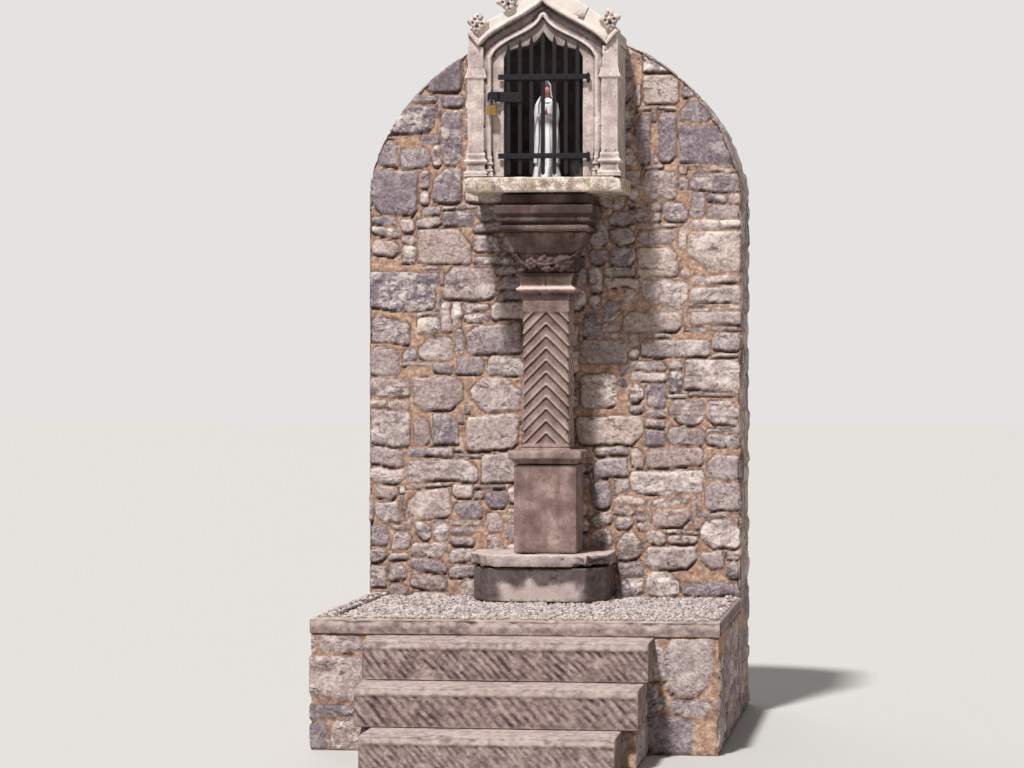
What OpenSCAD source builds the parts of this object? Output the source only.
// Wayside shrine: a stone tabernacle on a carved column, in front of a round-headed
// rubble wall, on a low gravel terrace with three steps.
// Millimetres, +Z up. The origin is the centre of the wall's foot, and the steps lie towards -Y.

/* [Back wall] */
// Width of the wall
wall_w = 1750; // [1500:10:2100]
// Thickness of the wall
wall_t = 620; // [450:10:800]
// Height of the wall's upright edges above the terrace
wall_spring_h = 1833; // [1750:1:1950]
// Rise of the wall's round head
wall_head_rise = 805; // [650:5:900]

/* [Terrace and steps] */
// Distance from the wall to the front of the terrace
terrace_d = 1463; // [1100:1:1800]
// Height of the edging stones round the gravel
curb_h = 66; // [50:1:110]
// Depth of the front edging stone
curb_d = 110; // [90:5:320]
// Width of the side edging stones
kerb_w = 80; // [60:5:180]
// Depth of the gravel below the top of the edging stones
gravel_drop = 6; // [2:1:15]
// Rise of each step
step_rise = 165; // [140:1:190]
// Visible tread of each step
step_tread = 280; // [240:1:340]
// How far each step runs under the stone above it
step_lap = 60; // [40:1:100]
// Length of the upper step
upper_step_l = 1200; // [1000:10:1500]
// Length of the middle step
middle_step_l = 1168; // [1000:2:1500]
// Length of the bottom step
bottom_step_l = 1034; // [900:2:1500]
// How far the rubble under the steps lies back from their ends
core_inset = 25; // [10:1:60]

/* [Bench] */
// Width of the bench slab at the wall
bench_w = 644; // [560:2:760]
// Width of the bench slab's front edge
bench_front_w = 454; // [380:2:520]
// How far the bench slab stands out from the wall
bench_d = 430; // [400:1:520]
// Depth of the slanted corners
bench_cant_d = 150; // [100:1:200]
// Thickness of the bench slab
bench_slab_h = 61; // [45:1:90]
// Height of the block under the slab
bench_block_h = 158; // [120:1:220]
// Overhang of the slab over the block
bench_overhang = 12; // [5:1:30]
// How far the bench lies to the left of the column
bench_shift = 30; // [0:1:60]

/* [Column] */
// Distance of the column's axis from the wall
column_d = 200; // [190:1:230]
// Width of the pedestal
pedestal_w = 290; // [250:1:320]
// Height of the pedestal
pedestal_h = 405; // [300:1:450]
// Width of the moulded base
base_w = 338; // [310:1:370]
// Height of the moulded base
base_h = 75; // [60:1:100]
// Width of the shaft
shaft_w = 218; // [190:1:250]
// Height of the shaft
shaft_h = 669; // [560:1:760]
// Width of the slanted corners of the shaft
shaft_chamfer = 18; // [8:1:30]
// Width of the ring under the capital
astragal_w = 276; // [262:1:296]
// Height of the neck between shaft and capital
neck_h = 127; // [100:1:150]
// Width of the capital over its leaves
capital_w = 330; // [310:1:350]
// Height of the capital
capital_h = 182; // [150:1:220]
// Width of the capital's top
capital_top_w = 380; // [360:1:395]
// Width of the abacus
abacus_w = 455; // [430:1:480]
// Height of the abacus
abacus_h = 123; // [100:1:150]
// Width of the bed stone under the sill
bed_w = 400; // [360:1:420]
// Height of the bed stone
bed_h = 54; // [35:1:80]

/* [Tabernacle] */
// Width of the sill slab
sill_w = 722; // [710:1:780]
// Depth of the sill slab
sill_d = 462; // [460:1:520]
// Thickness of the sill slab
sill_h = 71; // [55:1:95]
// Width of the tabernacle across its side walls
tab_w = 672; // [650:1:690]
// Distance from the wall to the tabernacle's front face
tab_d = 430; // [400:1:440]
// Thickness of the front frame
frame_t = 130; // [110:1:150]
// Thickness of the side walls
side_t = 90; // [70:1:100]
// Thickness of the back slab
back_t = 40; // [30:1:60]
// Height of the jambs up to the springing of the head
jamb_h = 539; // [500:1:580]
// Width of the opening
opening_w = 356; // [340:1:370]
// Rise of the opening's pointed head
opening_rise = 115; // [100:1:125]
// Width of the recess round the opening
recess_w = 468; // [455:1:480]
// Rise of the recess's pointed head
recess_rise = 184; // [170:1:190]
// Depth of the recess
recess_t = 22; // [18:1:26]
// Width of the corner pilasters
pilaster_w = 77; // [65:1:85]
// How far the pilasters stand out in front
pilaster_out = 12; // [8:1:16]
// How far the pilasters stand out at the sides
pilaster_side = 6; // [3:1:10]
// Height of the pilaster's sloped offset above the sill
offset_h = 445; // [420:1:460]
// Height of the sloped offset itself
offset_rise = 45; // [25:1:50]
// Projection of the offset's lower edge
offset_out = 12; // [8:1:14]
// Projection of the rolls of the base moulding
base_roll_out = 16; // [10:1:18]
// Height of the base moulding
base_mould_h = 110; // [90:1:130]

/* [Gable] */
// Height of the gable's foot above the springing
gable_foot_h = 126; // [115:1:140]
// Rise of the gable from foot to point
gable_rise = 250; // [230:1:290]
// Distance of the hood moulding's low corners from the middle
hood_valley_x = 291; // [280:1:300]
// Height of those corners above the springing
hood_valley_h = 51; // [40:1:60]
// Rise of the hood moulding from the corners to its point
hood_rise = 200; // [185:1:210]
// Rise of its outer returns
hood_return_rise = 60; // [40:1:70]
// Thickness of the hood moulding
hood_t = 24; // [18:1:28]
// Projection of the hood moulding
hood_out = 24; // [16:1:32]
// Height of the eaves above the springing
eaves_h = 116; // [105:1:118]
// Rise of the roof from eaves to ridge
roof_rise = 175; // [150:1:180]
// Thickness of the roof slabs, measured upright
roof_t = 55; // [40:1:70]
// Size of a leaf knob across
crocket_s = 104; // [85:1:120]
// Height of the knob on the gable's point
finial_h = 175; // [120:1:220]

/* [Grille] */
// Number of upright bars
bar_count = 7; // [5:2:9]
// Distance between the middles of the bars
bar_pitch = 52.2; // [38:0.1:52.5]
// Width of a bar
bar_w = 18; // [12:1:20]
// Thickness of a bar
bar_t = 8; // [6:1:9]
// Gap between the bars and the stone behind them
bar_gap = 8; // [6:1:9]
// Height of the middle bar's point above the springing
bar_tip_h = 121; // [110:1:130]
// How much lower each next bar's point is
bar_tip_drop = 18; // [8:1:20]
// Gap between the bars' lower ends and the sill
bar_foot_gap = 7; // [6:1:14]
// Height of a rail
rail_h = 24; // [18:1:30]
// Thickness of a rail
rail_t = 6; // [5:1:8]
// Height of the lower rail's middle above the sill
low_rail_z = 94; // [85:1:120]
// Height of the upper rail's middle above the sill
high_rail_z = 450; // [400:1:470]
// Distance of the free end of the rails from the middle
rail_end_x = 203; // [196:1:212]
// Distance of the hinge pins from the middle
pintle_x = 206; // [200:1:210]
// Radius of a hinge pin
pintle_r = 5; // [4:0.5:6]
// Outer radius of a hinge eye
eye_r = 8.5; // [7.5:0.1:9]

/* [Lock] */
// Height of the hasp's middle above the sill
hasp_z = 361; // [300:1:380]
// Height of the hasp
hasp_h = 45; // [34:1:50]
// Distance of the hasp's free end from the middle
hasp_end_x = 250; // [244:1:252]
// Thickness of the hasp
hasp_t = 6; // [4:1:7]
// Width and height of the padlock's body
lock_s = 41; // [34:1:46]
// Thickness of the padlock's body
lock_t = 20; // [14:1:22]
// Radius of the shackle's bend, to the middle of its rod
shackle_bend_r = 11; // [10:0.5:14]
// Radius of the shackle's rod
shackle_r = 3; // [2.5:0.1:3.5]

/* [Statue] */
// Height of the statue
statue_h = 446; // [380:1:470]
// Width of the statue's foot
statue_foot_w = 140; // [120:1:150]
// Distance of the statue's axis from the wall
statue_d = 275; // [180:5:290]

/* [Hidden] */
$fn = 48;

// Overrun of cutting shapes
over = 5;
// Gap between curved pieces that nearly touch
fit = 0.3;
// Running gap between a hinge pin and its eye
run = 0.1;
// Segments in a drawn curve
curve_n = 14;
// Power of the wall head's curve, a little flatter at the haunches than an ellipse
head_power_share = 1.85;

// Levels above the ground
terrace_h = curb_h + 3 * step_rise;
core_h = terrace_h - curb_h;
gravel_z = terrace_h - gravel_drop;
bench_slab_z = gravel_z + bench_block_h;
pedestal_z = bench_slab_z + bench_slab_h;
base_z = pedestal_z + pedestal_h;
shaft_z = base_z + base_h;
neck_z = shaft_z + shaft_h;
capital_z = neck_z + neck_h;
abacus_z = capital_z + capital_h;
bed_z = abacus_z + abacus_h;
sill_z = bed_z + bed_h;
floor_z = sill_z + sill_h;
spring_z = floor_z + jamb_h;
finial_seat_z = spring_z + gable_foot_h + gable_rise - finial_h / 6;

// Places in front of the wall, as distances from its face
wall_front_y = -wall_t / 2;
frame_back_d = tab_d - frame_t;
inner_d = tab_d - recess_t;
bar_back_d = inner_d + bar_gap;
rail_back_d = bar_back_d + bar_t;
pintle_d = rail_back_d + rail_t / 2;
body_half = tab_w / 2 + pilaster_side;
pilaster_x = body_half - pilaster_w;

// Middle heights of the grille's two rails above the ground
rail_zs = [floor_z + low_rail_z, floor_z + high_rail_z];

// Hasp and lock: the gap behind the hasp's plate, the play of the shackle in its ring
hasp_gap = 7;
ring_play = 1;
hasp_plate_d = tab_d + hasp_gap;
ring_hole_r = 2 * shackle_r + ring_play;
ring_r = 2 * ring_hole_r;
ring_t = 2 * shackle_r;
ring_d = hasp_plate_d + hasp_t + ring_hole_r;
ring_z = floor_z + hasp_z - hasp_h / 4;
lock_x = -(hasp_end_x - lock_s / 2);
leg_l = hasp_h / 3;

// Drop of the bent shackle rod at the ring's edges, and the height at which the rod hangs
shackle_sag = shackle_bend_r - sqrt(pow(shackle_bend_r, 2) - pow(ring_t / 2, 2));
shackle_z = ring_z - ring_hole_r + shackle_r + shackle_sag + fit;

// Shares that shape the pointed curves: the straight part, the swell near the foot, the power
gable_left_shares = [0.66, 0, 8];
gable_right_shares = [0.98, 0, 8];
hood_shares = [0.86, 0.045, 8];
recess_shares = [0.8, 0.141, 8];
opening_shares = [0.45, 0.22, 5];

// Turned outline of the finial: radii are shares of its stem's, heights are shares of its own
finial_shares = [
    [1, 0], [1, 0.34], [1.5, 0.4], [1.2, 0.46], [2, 0.56], [2, 0.7], [1.2, 0.8], [1.1, 0.88], [0.5, 0.97]
];

// Statue: radii are shares of half the foot's width, heights are shares of the statue's height
foot_share = 0.12;
robe_shares = [[0.78, 0.12], [0.66, 0.3], [0.6, 0.5], [0.56, 0.62], [0.62, 0.72], [0.52, 0.79], [0.2, 0.82]];
mantle_shares = [
    [0.86, 0.15], [0.86, 0.5], [0.9, 0.64], [0.84, 0.74], [0.6, 0.82], [0.42, 0.88], [0.4, 0.94],
    [0.28, 0.985], [0, 1]
];

// Height share of a pointed curve at share u of the way from its foot to its point
function ogee(u, shares) =
    shares[0] * u + (1 - shares[0]) * pow(u, shares[2]) + shares[1] * sin(180 * sqrt(u));

// Points of one side of a pointed curve, from the foot at x = half to the point at x = 0
function ogee_side(half, foot, rise, shares) =
    [for (i = [0:curve_n]) let (u = i / curve_n) [half * (1 - u), foot + rise * ogee(u, shares)]];

// The same list run backwards, and the same outline on the other side
function backwards(list) = [for (i = [len(list) - 1:-1:0]) list[i]];
function flipped(list) = [for (p = list) [-p[0], p[1]]];

// Points of a half-round roll that swells out from x at height z
function roll(x, z, r) = [for (i = [0:6]) let (a = -90 + 30 * i) [x + r * cos(a), z + r * sin(a)]];

// Points of a quarter hollow from one corner to the other
function hollow(from, to) =
    [for (i = [1:4])
        let (a = 90 * i / 4)
            [from[0] + (to[0] - from[0]) * (1 - cos(a)), from[1] + (to[1] - from[1]) * sin(a)]];

// Outline drawn in X and Z, made a solid that reaches from distance d0 to d1 in front of the wall
module facing(d0, d1) {
    translate([0, wall_front_y - d0, 0])
        rotate([90, 0, 0])
            linear_extrude(height = d1 - d0)
                children();
}

// Box from x0 to x1, from distance d0 to d1 in front of the wall, from z0 to z1
module block(x0, x1, d0, d1, z0, z1) {
    translate([x0, wall_front_y - d1, z0])
        cube([x1 - x0, d1 - d0, z1 - z0]);
}

// Square moulded course centred on the column: profile points give half width and height
module square_course(profile, z) {
    outline = concat(profile, backwards(flipped(profile)));
    reach = 2 * max([for (p = profile) p[0]]) + over;
    translate([0, wall_front_y - column_d, z])
        intersection() {
            rotate([90, 0, 0])
                linear_extrude(height = reach, center = true)
                    polygon(outline);
            rotate([90, 0, 90])
                linear_extrude(height = reach, center = true)
                    polygon(outline);
        }
}

// Keeps only what lies in front of the wall
module before_wall() {
    intersection() {
        children();
        block(-wall_w / 2, wall_w / 2, 0, terrace_d, 0, spring_z);
    }
}

module wall_outline() {
    half = wall_w / 2;
    spring = terrace_h + wall_spring_h;
    head = [
        for (i = [0:2 * curve_n])
            let (a = 90 * i / curve_n, c = cos(a), s = sin(a), p = 2 / head_power_share)
                [half * sign(c) * pow(abs(c), p), spring + wall_head_rise * pow(abs(s), p)]
    ];
    polygon(concat([[-half, 0], [half, 0]], head));
}

module rubble_wall() {
    color("rosybrown")
        facing(-wall_t, 0)
            wall_outline();
}

module terrace_core() {
    color("gray")
        difference() {
            block(-wall_w / 2, wall_w / 2, 0, terrace_d, 0, core_h);
            block(-upper_step_l / 2, upper_step_l / 2, terrace_d - step_lap, terrace_d + over,
                  core_h - step_rise, core_h + over);
        }
}

module side_kerbs() {
    color("darkgray")
        for (s = [-1, 1])
            translate([s * (wall_w - kerb_w) / 2, 0, 0])
                block(-kerb_w / 2, kerb_w / 2, 0, terrace_d - curb_d, core_h, terrace_h);
}

module front_curb() {
    color("darkgray")
        block(-wall_w / 2, wall_w / 2, terrace_d - curb_d, terrace_d, core_h, terrace_h);
}

module gravel_bed() {
    color("lightgray")
        block(-wall_w / 2 + kerb_w, wall_w / 2 - kerb_w, 0, terrace_d - curb_d, core_h, gravel_z);
}

// Stepped rubble under the steps
module step_core() {
    upper_half = upper_step_l / 2 - core_inset;
    middle_half = min(upper_half, middle_step_l / 2 - core_inset);
    color("gray")
        union() {
            block(-upper_half, upper_half, terrace_d, terrace_d + step_tread - step_lap, 0, 2 * step_rise);
            block(-middle_half, middle_half, terrace_d, terrace_d + 2 * step_tread - step_lap, 0, step_rise);
        }
}

// Step number n, counted from the ground, and its length
module step_stone(n, length) {
    front = terrace_d + (4 - n) * step_tread;
    back = front - step_tread - step_lap;
    color("dimgray")
        block(-length / 2, length / 2, back, front, (n - 1) * step_rise, n * step_rise);
}

module upper_step() {
    step_stone(3, upper_step_l);
}

module middle_step() {
    step_stone(2, middle_step_l);
}

module bottom_step() {
    step_stone(1, bottom_step_l);
}

// Plan of the bench with slanted corners, drawn in by the given inset
module bench_plan(inset) {
    half = bench_w / 2 - inset;
    front_half = bench_front_w / 2 - inset / 2;
    depth = bench_d - inset;
    polygon([
        [-half, 0], [-half, -depth + bench_cant_d], [-front_half, -depth],
        [front_half, -depth], [half, -depth + bench_cant_d], [half, 0]
    ]);
}

module bench_block() {
    color("rosybrown")
        translate([-bench_shift, wall_front_y, gravel_z])
            linear_extrude(height = bench_block_h)
                bench_plan(bench_overhang);
}

module bench_slab() {
    color("tan")
        translate([-bench_shift, wall_front_y, bench_slab_z])
            linear_extrude(height = bench_slab_h)
                bench_plan(0);
}

module column_pedestal() {
    half = pedestal_w / 2;
    color("rosybrown")
        square_course([[half, 0], [half, pedestal_h]], pedestal_z);
}

// Base: a hollow up from the pedestal, a thick square roll and a slope up to the shaft
module column_base() {
    foot = pedestal_w / 2;
    out = base_w / 2;
    top = shaft_w / 2;
    color("rosybrown")
        square_course(concat(
            [[foot, 0]],
            hollow([foot, 0], [out, base_h * 0.3]),
            [[out, base_h * 0.72], [out - base_h * 0.1, base_h * 0.86], [top, base_h * 0.9], [top, base_h]]
        ), base_z);
}

module column_shaft() {
    half = shaft_w / 2;
    cut = half - shaft_chamfer;
    color("rosybrown")
        translate([0, wall_front_y - column_d, shaft_z])
            linear_extrude(height = shaft_h)
                polygon([
                    [half, -cut], [half, cut], [cut, half], [-cut, half],
                    [-half, cut], [-half, -cut], [-cut, -half], [cut, -half]
                ]);
}

// Neck: a plain block, the ring and the hollow up to the leaves
module column_neck() {
    half = shaft_w / 2;
    ring_r = neck_h * 0.08;
    ring_z = neck_h * 0.4;
    ring = astragal_w / 2 - ring_r;
    top = astragal_w / 2;
    color("rosybrown")
        square_course(concat(
            [[half, 0], [half, neck_h * 0.22], [ring, ring_z - ring_r]],
            roll(ring, ring_z, ring_r),
            [[half + ring_r, ring_z + ring_r * 1.6]],
            hollow([half + ring_r, ring_z + ring_r * 1.6], [top, neck_h])
        ), neck_z);
}

// Capital: a bell with leaf clumps at its corners and on its faces, under a sloped top
module foliate_capital() {
    bell = astragal_w / 2;
    leaf = capital_h * 0.48;
    clump_r = (capital_w - astragal_w) / 2;
    out = capital_w / 2 - clump_r;
    top = capital_top_w / 2;
    color("rosybrown")
        union() {
            square_course(
                [[bell, 0], [bell, leaf], [top - clump_r * 0.5, capital_h * 0.92], [top, capital_h]],
                capital_z
            );
            for (a = [0:45:315])
                translate([0, wall_front_y - column_d, capital_z + leaf * 0.55])
                    rotate([0, 0, a])
                        translate([a % 90 == 0 ? out : out * 1.28, 0, 0])
                            sphere(r = clump_r);
        }
}

// Abacus: a roll, a fillet and two bands
module abacus() {
    half = abacus_w / 2;
    low = half - abacus_h * 0.1;
    roll_r = abacus_h * 0.15;
    roll_x = capital_top_w / 2;
    color("rosybrown")
        before_wall()
            square_course(concat(
                [[roll_x, 0]],
                roll(roll_x, roll_r, roll_r),
                [[roll_x, abacus_h * 0.37], [low, abacus_h * 0.37], [low, abacus_h * 0.62],
                 [half, abacus_h * 0.67], [half, abacus_h]]
            ), abacus_z);
}

module bed_stone() {
    color("dimgray")
        block(-bed_w / 2, bed_w / 2, 0, column_d + bed_w / 2, bed_z, sill_z);
}

module sill_slab() {
    color("tan")
        block(-sill_w / 2, sill_w / 2, 0, sill_d, sill_z, floor_z);
}

// Profile of a base moulding: a lower roll at the given share of its height, an upper roll, a fillet
function base_profile(out, h, low_share) = concat(
    [[out, 0], [out, h * (low_share - 0.12)]],
    roll(out * 0.5, h * low_share, out * 0.5),
    [[out * 0.25, h * (low_share + 0.14)], [out * 0.25, h * 0.5]],
    roll(out * 0.5, h * 0.64, out * 0.5),
    [[out * 0.2, h * 0.84], [out * 0.35, h * 0.88], [out * 0.35, h * 0.95], [0, h]]
);

// Profile of a sloped offset: a narrow edge, then the slope back to the face
function offset_profile(out, h) = [[out, 0], [out, h * 0.12], [0, h]];

// Moulding with mitred corners round the box from x0 to x1, which reaches from distance back_d to d
module mitred(x0, x1, back_d, d, p, z) {
    out = max([for (q = p) q[0]]);
    h = max([for (q = p) q[1]]);
    across = concat([for (q = p) [x1 + q[0], q[1]]], backwards([for (q = p) [x0 - q[0], q[1]]]));
    along = concat([[-back_d, 0]], [for (q = p) [-d - q[0], q[1]]], [[-back_d, h]]);
    translate([0, wall_front_y, z])
        intersection() {
            rotate([90, 0, 0])
                linear_extrude(height = d + out + over)
                    polygon(across);
            translate([x0 - out - over, 0, 0])
                rotate([90, 0, 90])
                    linear_extrude(height = x1 - x0 + 2 * (out + over))
                        polygon(along);
        }
}

// Right-hand jamb: inner order, field, corner pilaster with its offset, moulded feet
module jamb() {
    field_x = recess_w / 2;
    upper_out = pilaster_out / 2;
    field_foot_h = base_mould_h * 0.86;
    field_foot_out = base_roll_out * 0.6;
    foot_p = base_profile(base_roll_out, base_mould_h, 0.16);
    field_foot_p = base_profile(field_foot_out, field_foot_h, 0.32);
    union() {
        block(opening_w / 2, body_half, frame_back_d, inner_d, floor_z, spring_z);
        block(field_x, body_half, inner_d, tab_d, floor_z, spring_z);
        block(pilaster_x + upper_out, body_half, tab_d, tab_d + upper_out, floor_z, spring_z);
        block(pilaster_x, body_half, tab_d, tab_d + pilaster_out, floor_z, floor_z + offset_h);
        mitred(pilaster_x, body_half, frame_back_d, tab_d + upper_out,
               offset_profile(offset_out, offset_rise), floor_z + offset_h);
        mitred(pilaster_x, body_half, frame_back_d, tab_d + pilaster_out, foot_p, floor_z);
        mitred(field_x, pilaster_x, inner_d, tab_d, field_foot_p, floor_z);
    }
}

module left_jamb() {
    color("tan")
        mirror([1, 0, 0])
            jamb();
}

module right_jamb() {
    color("tan")
        jamb();
}

// Underside of the roof at distance x from the middle
function roof_under(x) = spring_z + eaves_h + roof_rise * (1 - x / body_half) - roof_t;

module side_wall(s) {
    outer = tab_w / 2;
    inner = outer - side_t;
    color("tan")
        facing(0, frame_back_d)
            polygon([
                [s * inner, floor_z], [s * outer, floor_z],
                [s * outer, roof_under(outer)], [s * inner, roof_under(inner)]
            ]);
}

module left_side_wall() {
    side_wall(-1);
}

module right_side_wall() {
    side_wall(1);
}

module back_slab() {
    inner = tab_w / 2 - side_t;
    color("dimgray")
        facing(0, back_t)
            polygon([
                [-inner, floor_z], [inner, floor_z], [inner, roof_under(inner)],
                [0, roof_under(0)], [-inner, roof_under(inner)]
            ]);
}

module roof_slab(s) {
    color("tan")
        facing(0, frame_back_d)
            polygon([
                [0, roof_under(0)], [s * body_half, roof_under(body_half)],
                [s * body_half, roof_under(body_half) + roof_t], [0, roof_under(0) + roof_t]
            ]);
}

module left_roof_slab() {
    roof_slab(-1);
}

module right_roof_slab() {
    roof_slab(1);
}

// Lower edge of the hood moulding, from the right-hand return to the point
function hood_side() = concat(
    [[body_half, spring_z + hood_valley_h + hood_return_rise]],
    ogee_side(hood_valley_x, spring_z + hood_valley_h, hood_rise, hood_shares)
);

// Outline of the gable stone, its left slope worn lower than its right one
module gable_outline() {
    foot = spring_z + gable_foot_h;
    right = ogee_side(body_half, foot, gable_rise, gable_right_shares);
    left = flipped(ogee_side(body_half, foot, gable_rise, gable_left_shares));
    intersection() {
        polygon(concat([[-body_half, spring_z], [body_half, spring_z]], right, backwards(left)));
        translate([-body_half, 0])
            square([2 * body_half, finial_seat_z]);
    }
}

// Pointed opening from half its width, with a straight foot below the springing
module pointed_opening(width, rise, shares) {
    side = ogee_side(width / 2, spring_z, rise, shares);
    foot = [[-width / 2, spring_z - over], [width / 2, spring_z - over]];
    polygon(concat(foot, side, backwards(flipped(side))));
}

// Upper end of a pilaster, from the springing to the hood moulding
module pilaster_head() {
    inner = pilaster_x + pilaster_out / 2;
    valley = spring_z + hood_valley_h;
    polygon([
        [inner, spring_z], [body_half, spring_z], [body_half, valley + hood_return_rise],
        [hood_valley_x, valley], [inner, valley]
    ]);
}

module gable_head() {
    color("tan")
        union() {
            facing(frame_back_d, inner_d)
                difference() {
                    gable_outline();
                    pointed_opening(opening_w, opening_rise, opening_shares);
                }
            facing(inner_d, tab_d)
                difference() {
                    gable_outline();
                    pointed_opening(recess_w, recess_rise, recess_shares);
                }
            facing(tab_d, tab_d + pilaster_out / 2)
                for (s = [0, 1])
                    mirror([s, 0, 0])
                        pilaster_head();
        }
}

module hood_mould() {
    low = hood_side();
    high = [for (p = low) [p[0], p[1] + hood_t]];
    color("tan")
        facing(tab_d, tab_d + hood_out)
            difference() {
                polygon(concat(low, backwards(flipped(low)), flipped(high), backwards(high)));
                for (s = [0, 1])
                    mirror([s, 0, 0])
                        translate([body_half, 0])
                            square([over, 2 * spring_z]);
            }
}

// Leaf knob: a heart with lobes above, below and at the sides, and a bud in front
module leaf_knob(size) {
    heart_r = size * 0.34;
    lobe_r = size * 0.24;
    reach = size / 2 - lobe_r;
    sphere(r = heart_r);
    for (a = [0:90:270])
        rotate([0, a, 0])
            translate([reach, 0, 0])
                sphere(r = lobe_r);
    translate([0, -reach, 0])
        sphere(r = lobe_r);
}

// Leaves out what lies inside the gable stone or the hood moulding, so that the knob seats on them
module seated() {
    difference() {
        children();
        facing(frame_back_d, tab_d)
            gable_outline();
        hood_mould();
    }
}

// Knob at distance x from the middle and height z above the springing
module crocket(x, z) {
    color("tan")
        seated()
            translate([x, wall_front_y - tab_d + crocket_s / 6, spring_z + z])
                leaf_knob(crocket_s);
}

module left_kneeler_crocket() {
    crocket(-hood_valley_x, gable_foot_h + crocket_s / 4);
}

module left_slope_crocket() {
    crocket(-body_half / 2 + crocket_s / 8, gable_foot_h + gable_rise / 2);
}

module right_kneeler_crocket() {
    crocket(hood_valley_x + crocket_s / 10, gable_foot_h + crocket_s / 3);
}

module broken_crocket_stump() {
    stump_r = crocket_s / 5;
    z = spring_z + hood_valley_h + hood_rise / 2 + hood_t + stump_r;
    color("tan")
        translate([body_half / 2, wall_front_y - tab_d, z])
            rotate([90, 0, 0])
                cylinder(r1 = stump_r, r2 = stump_r / 2, h = stump_r);
}

// Stem, knob and four side leaves on the flat seat at the gable's point
module gable_finial() {
    stem_r = finial_h / 8;
    turned = [for (p = finial_shares) [p[0] * stem_r, p[1] * finial_h]];
    color("tan")
        translate([0, wall_front_y - tab_d + frame_t / 2, finial_seat_z])
            union() {
                rotate_extrude()
                    polygon(concat([[0, 0]], turned, [[0, finial_h]]));
                for (a = [45:90:315])
                    rotate([0, 0, a])
                        translate([2 * stem_r, 0, finial_h * 0.63])
                            sphere(r = 1.2 * stem_r);
            }
}

function statue_points(shares) = [for (p = shares) [p[0] * statue_foot_w / 2, p[1] * statue_h]];

module at_statue() {
    translate([0, wall_front_y - statue_d, floor_z])
        children();
}

module robe_solid(grow) {
    p = statue_points(robe_shares);
    rotate_extrude()
        polygon(concat([[0, p[0][1]]], [for (q = p) [q[0] + grow, q[1]]], [[0, p[len(p) - 1][1] + grow]]));
}

// Round head and neck, drawn larger by the given amount
module head_solid(grow) {
    head_r = statue_foot_w * 0.13;
    neck_foot = statue_h * 0.82;
    head_mid = statue_h * 0.905;
    translate([0, 0, head_mid])
        sphere(r = head_r + grow);
    translate([0, 0, neck_foot])
        cylinder(r = head_r * 0.55 + grow, h = head_mid - neck_foot);
}

module statue_foot() {
    half = statue_foot_w / 2;
    color("white")
        at_statue()
            cylinder(r1 = half, r2 = half * 0.84, h = statue_h * foot_share);
}

module statue_robe() {
    color("white")
        at_statue()
            robe_solid(0);
}

module statue_mantle() {
    p = statue_points(mantle_shares);
    half = statue_foot_w / 2;
    color("ivory")
        at_statue()
            difference() {
                rotate_extrude()
                    polygon(concat([[0, p[0][1]]], p));
                robe_solid(fit);
                head_solid(fit);
                translate([-half * 0.42, -half - over, 0])
                    cube([half * 0.84, half + over, statue_h * 0.8]);
                translate([-half * 0.3, -half - over, statue_h * 0.78])
                    cube([half * 0.6, half + over, statue_h * 0.185]);
            }
}

module statue_head() {
    color("pink")
        at_statue()
            head_solid(0);
}

// Joined hands, their backs cut flat where the robe's chest meets them
module statue_hands() {
    hand_r = statue_foot_w * 0.07;
    chest_z = statue_h * 0.66;
    chest_r = statue_foot_w * 0.31 + fit;
    color("pink")
        at_statue()
            difference() {
                translate([0, -chest_r - hand_r / 2, chest_z])
                    union() {
                        cylinder(r = hand_r, h = hand_r * 3);
                        translate([0, 0, hand_r * 3])
                            sphere(r = hand_r);
                        sphere(r = hand_r);
                    }
                translate([-2 * hand_r, -chest_r, chest_z - 2 * hand_r])
                    cube([4 * hand_r, 4 * hand_r, 8 * hand_r]);
            }
}

// Hooks for the grille's two eyes: a shank from the stone, a collar and an upright pin
module hinge_pintles() {
    collar_h = rail_t;
    color("black")
        for (z = rail_zs)
            translate([pintle_x, wall_front_y - pintle_d, z - rail_h / 2 - fit])
                union() {
                    translate([0, 0, -collar_h])
                        cylinder(r = eye_r, h = collar_h);
                    translate([0, 0, -collar_h - 2 * pintle_r])
                        cylinder(r = pintle_r, h = collar_h + 3 * pintle_r + fit + rail_h);
                    translate([0, 0, -collar_h - pintle_r])
                        rotate([-90, 0, 0])
                            cylinder(r = pintle_r, h = pintle_d - inner_d);
                }
}

// Loop in the stone behind the hasp
module lock_staple() {
    rod_r = hasp_t / 2;
    loop_h = hasp_h / 2;
    loop_d = recess_t / 2;
    color("black")
        translate([-(rail_end_x + recess_w / 2) / 2, wall_front_y - inner_d, floor_z + hasp_z - loop_h / 2])
            union() {
                for (z = [0, loop_h])
                    translate([0, 0, z])
                        rotate([90, 0, 0])
                            cylinder(r = rod_r, h = loop_d);
                translate([0, -loop_d, 0])
                    cylinder(r = rod_r, h = loop_h);
                for (z = [0, loop_h])
                    translate([0, -loop_d, z])
                        sphere(r = rod_r);
            }
}

// Upright bar number i with its spear point and its pointed foot
module bar_outline(i) {
    away = abs(i - (bar_count - 1) / 2);
    tip = spring_z + bar_tip_h - bar_tip_drop * away;
    foot = floor_z + bar_foot_gap;
    half = bar_w / 2;
    blade = half * 1.2;
    translate([(i - (bar_count - 1) / 2) * bar_pitch, 0])
        polygon([
            [0, foot], [half, foot + bar_w / 2], [half, tip - 3 * bar_w], [blade, tip - 2.5 * bar_w],
            [half * 0.4, tip - bar_w], [0, tip], [-half * 0.4, tip - bar_w],
            [-blade, tip - 2.5 * bar_w], [-half, tip - 3 * bar_w], [-half, foot + bar_w / 2]
        ]);
}

module grille_bars() {
    color("black")
        facing(bar_back_d, rail_back_d)
            for (i = [0:bar_count - 1])
                bar_outline(i);
}

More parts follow.
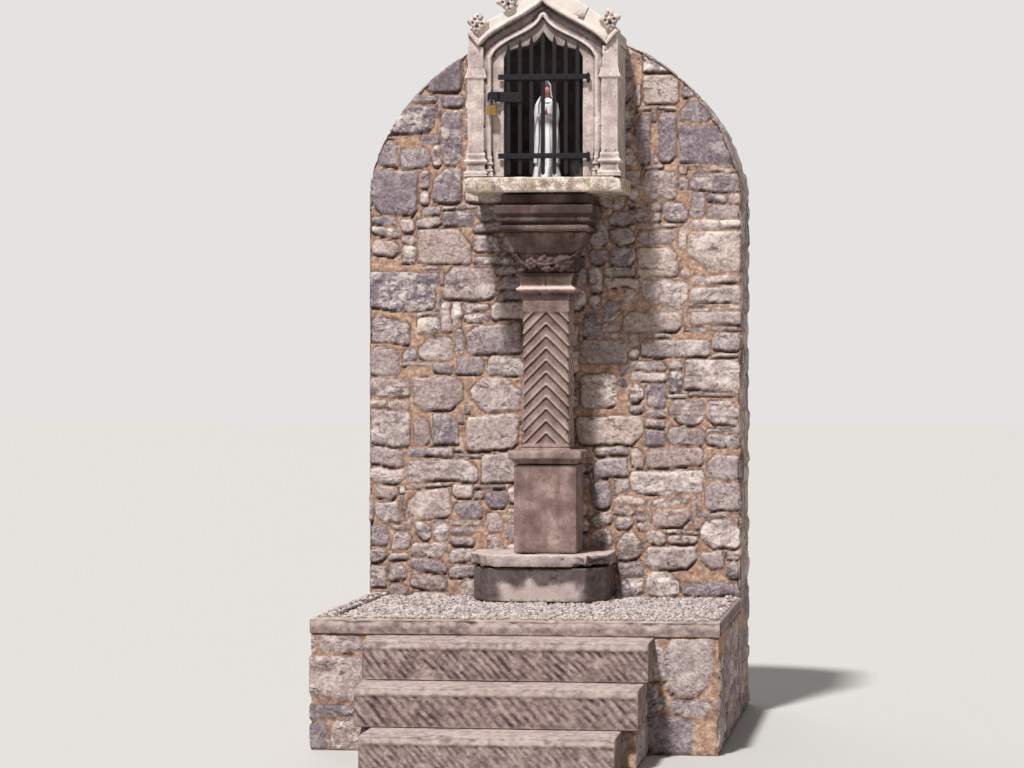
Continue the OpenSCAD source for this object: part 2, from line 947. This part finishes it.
// Rails across the bars, each with an eye for its pin
module grille_rails() {
    color("black")
        for (z = rail_zs)
            difference() {
                union() {
                    block(-rail_end_x, pintle_x, rail_back_d, rail_back_d + rail_t,
                          z - rail_h / 2, z + rail_h / 2);
                    translate([pintle_x, wall_front_y - pintle_d, z - rail_h / 2])
                        cylinder(r = eye_r, h = rail_h);
                }
                translate([pintle_x, wall_front_y - pintle_d, z - rail_h / 2 - over])
                    cylinder(r = pintle_r + run, h = rail_h + 2 * over);
            }
}

// Cranked hasp: its plate passes in front of the stone face, and carries the padlock's ring
module hasp_strap() {
    step_x = -(rail_end_x - bar_w / 2);
    inner_x = -bar_pitch * 2 + bar_w / 2;
    z = floor_z + hasp_z;
    corner = hasp_h / 3;
    plate_x = step_x - hasp_h / 4;
    color("black")
        difference() {
            union() {
                intersection() {
                    translate([0, wall_front_y, z - hasp_h / 2])
                        linear_extrude(height = hasp_h)
                            polygon([
                                [inner_x, -rail_back_d], [inner_x, -rail_back_d - hasp_t],
                                [step_x, -rail_back_d - hasp_t], [plate_x, -hasp_plate_d - hasp_t],
                                [-hasp_end_x, -hasp_plate_d - hasp_t], [-hasp_end_x, -hasp_plate_d],
                                [plate_x - hasp_t / 2, -hasp_plate_d], [step_x - hasp_t, -rail_back_d]
                            ]);
                    facing(rail_back_d - over, hasp_plate_d + hasp_t + over)
                        union() {
                            translate([-hasp_end_x, z - hasp_h / 2])
                                square([hasp_end_x + inner_x, hasp_h - corner]);
                            translate([-hasp_end_x + corner, z - hasp_h / 2])
                                square([hasp_end_x + inner_x - corner, hasp_h]);
                            translate([-hasp_end_x + corner, z + hasp_h / 2 - corner])
                                circle(r = corner);
                        }
                }
                translate([lock_x - ring_t / 2, wall_front_y - ring_d, ring_z])
                    rotate([0, 90, 0])
                        cylinder(r = ring_r, h = ring_t);
            }
            translate([lock_x - ring_t / 2 - over, wall_front_y - ring_d, ring_z])
                rotate([0, 90, 0])
                    cylinder(r = ring_hole_r, h = ring_t + 2 * over);
            block(lock_x - ring_t, lock_x + ring_t, 0, hasp_plate_d, z - hasp_h, z + hasp_h);
        }
}

module at_padlock() {
    translate([lock_x, wall_front_y - ring_d, shackle_z])
        children();
}

module padlock_body() {
    corner = lock_s / 8;
    top = -shackle_bend_r - leg_l;
    color("goldenrod")
        at_padlock()
            translate([0, lock_t / 2, top - lock_s])
                rotate([90, 0, 0])
                    linear_extrude(height = lock_t)
                        union() {
                            translate([-lock_s / 2, corner])
                                square([lock_s, lock_s - corner]);
                            translate([-lock_s / 2 + corner, 0])
                                square([lock_s - 2 * corner, lock_s]);
                            for (s = [-1, 1])
                                translate([s * (lock_s / 2 - corner), corner])
                                    circle(r = corner);
                        }
}

module padlock_shackle() {
    color("silver")
        at_padlock()
            translate([0, 0, -shackle_bend_r])
                union() {
                    rotate([90, 0, 0])
                        rotate_extrude(angle = 180)
                            translate([shackle_bend_r, 0])
                                circle(r = shackle_r);
                    for (s = [-1, 1])
                        translate([s * shackle_bend_r, 0, -leg_l])
                            cylinder(r = shackle_r, h = leg_l);
                }
}

rubble_wall();
terrace_core();
side_kerbs();
front_curb();
gravel_bed();
step_core();
upper_step();
middle_step();
bottom_step();
bench_block();
bench_slab();
column_pedestal();
column_base();
column_shaft();
column_neck();
foliate_capital();
abacus();
bed_stone();
sill_slab();
left_jamb();
right_jamb();
left_side_wall();
right_side_wall();
back_slab();
gable_head();
hood_mould();
left_roof_slab();
right_roof_slab();
gable_finial();
left_kneeler_crocket();
left_slope_crocket();
right_kneeler_crocket();
broken_crocket_stump();
statue_foot();
statue_robe();
statue_mantle();
statue_head();
statue_hands();
hinge_pintles();
lock_staple();
grille_bars();
grille_rails();
hasp_strap();
padlock_body();
padlock_shackle();
